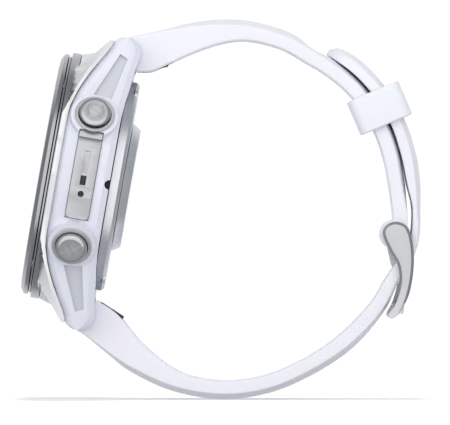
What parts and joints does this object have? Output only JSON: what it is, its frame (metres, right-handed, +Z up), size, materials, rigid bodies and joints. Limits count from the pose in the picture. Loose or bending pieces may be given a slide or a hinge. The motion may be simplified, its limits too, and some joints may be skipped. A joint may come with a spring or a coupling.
{
  "type": "gps running watch",
  "caption": "Round multisport watch with side buttons, steel bezel and lug guards, on a closed silicone strap with buckle, tongue and sliding keeper.",
  "frame": {"origin": "lowest point of the closed strap loop, on the middle of the strap's width, where the watch stands", "axes": "+X across the loop from the display towards the buckle, +Y towards 9 o'clock, +Z up; the case leans back 10 degrees, so the display faces -X and slightly up"},
  "size_m": [0.0674, 0.0468, 0.064],
  "materials": {
    "bezel_steel": "satin with a polished chamfer",
    "case_resin": "fine matt, faint lavender tint",
    "dark_resin": "matt",
    "display_glass": "clear over a black display",
    "display": "black, off",
    "button_steel": "satin",
    "seal_rubber": "moulded",
    "plate_steel": "fine brushed",
    "back_steel": "bead-blasted",
    "contact_brass": "plated",
    "board": "solder mask",
    "battery_can": "plain can",
    "buckle_steel": "satin with bright flats",
    "strap_silicone": "soft matt silicone"
  },
  "bodies": {
    "watch": {"bezel_channel_ring": "bezel_steel", "front_bezel": "bezel_steel", "bezel_base_ring": "bezel_steel", "front_guard_right": "bezel_steel", "front_guard_left": "bezel_steel", "mid_case": "case_resin", "sensor_port": "dark_resin", "speaker": "dark_resin", "display_glass": "display_glass", "sensor_window": "display_glass", "display_module": "display", "start_collar": "button_steel", "back_collar": "button_steel", "light_collar": "button_steel", "up_collar": "button_steel", "down_collar": "button_steel", "start_switch": "seal_rubber", "back_switch": "seal_rubber", "light_switch": "seal_rubber", "up_switch": "seal_rubber", "down_switch": "seal_rubber", "caseback_gasket": "seal_rubber", "sensor_guard_plate": "plate_steel", "caseback": "back_steel", "caseback_screw_65": "back_steel", "caseback_screw_115": "back_steel", "caseback_screw_245": "back_steel", "caseback_screw_295": "back_steel", "vibration_motor": "back_steel", "sensor_housing": "back_steel", "charge_contact_right": "contact_brass", "charge_contact_left": "contact_brass", "antenna_ring": "contact_brass", "main_board": "board", "sensor_board": "board", "battery": "battery_can", "buckle_pin": "buckle_steel", "lug_bar_top": "buckle_steel", "lug_bar_bottom": "buckle_steel", "strap_short": "strap_silicone", "strap_long": "strap_silicone"},
    "start_button": {"start_button": "button_steel"},
    "back_button": {"back_button": "button_steel"},
    "light_button": {"light_button": "button_steel"},
    "up_button": {"up_button": "button_steel"},
    "down_button": {"down_button": "button_steel"},
    "latch_top": {"latch_top": "dark_resin"},
    "latch_bottom": {"latch_bottom": "dark_resin"},
    "buckle_frame": {"buckle_frame": "buckle_steel"},
    "buckle_tongue": {"buckle_tongue": "buckle_steel"},
    "keeper_loop": {"keeper_loop": "strap_silicone"}
  },
  "joints": [
    {"name": "start_press", "type": "slide", "parent": "watch", "child": "start_button", "axis": [-0.0842, 0.8746, -0.4774], "range_m": [0, 0.0006], "stiffness_N_per_m": 3000},
    {"name": "back_press", "type": "slide", "parent": "watch", "child": "back_button", "axis": [0.0842, 0.8746, 0.4774], "range_m": [0, 0.0006], "stiffness_N_per_m": 3000},
    {"name": "light_press", "type": "slide", "parent": "watch", "child": "light_button", "axis": [-0.0842, -0.8746, -0.4774], "range_m": [0, 0.0006], "stiffness_N_per_m": 3000},
    {"name": "up_press", "type": "slide", "parent": "watch", "child": "up_button", "axis": [0, -1, 0], "range_m": [0, 0.0006], "stiffness_N_per_m": 3000},
    {"name": "down_press", "type": "slide", "parent": "watch", "child": "down_button", "axis": [0.0842, -0.8746, 0.4774], "range_m": [0, 0.0006], "stiffness_N_per_m": 3000},
    {"name": "latch_top_slide", "type": "slide", "parent": "watch", "child": "latch_top", "axis": [0.9754, 0, 0.2204], "range_m": [0, 0.001], "stiffness_N_per_m": 1500},
    {"name": "latch_bottom_slide", "type": "slide", "parent": "watch", "child": "latch_bottom", "axis": [0.8412, 0, -0.5407], "range_m": [0, 0.001], "stiffness_N_per_m": 1500},
    {"name": "buckle_hinge", "type": "hinge", "parent": "watch", "child": "buckle_frame", "pos_m": [0.0291, 0, 0.0278], "axis": [0, -1, 0], "range_deg": [0, 4]},
    {"name": "tongue_hinge", "type": "hinge", "parent": "buckle_frame", "child": "buckle_tongue", "pos_m": [0.0291, 0, 0.0278], "axis": [0, -1, 0], "range_deg": [0, 8]},
    {"name": "keeper_shift", "type": "hinge", "parent": "watch", "child": "keeper_loop", "pos_m": [0.0044, 0, 0.0352], "axis": [0, -1, 0], "range_deg": [-6, 6]}
  ]
}
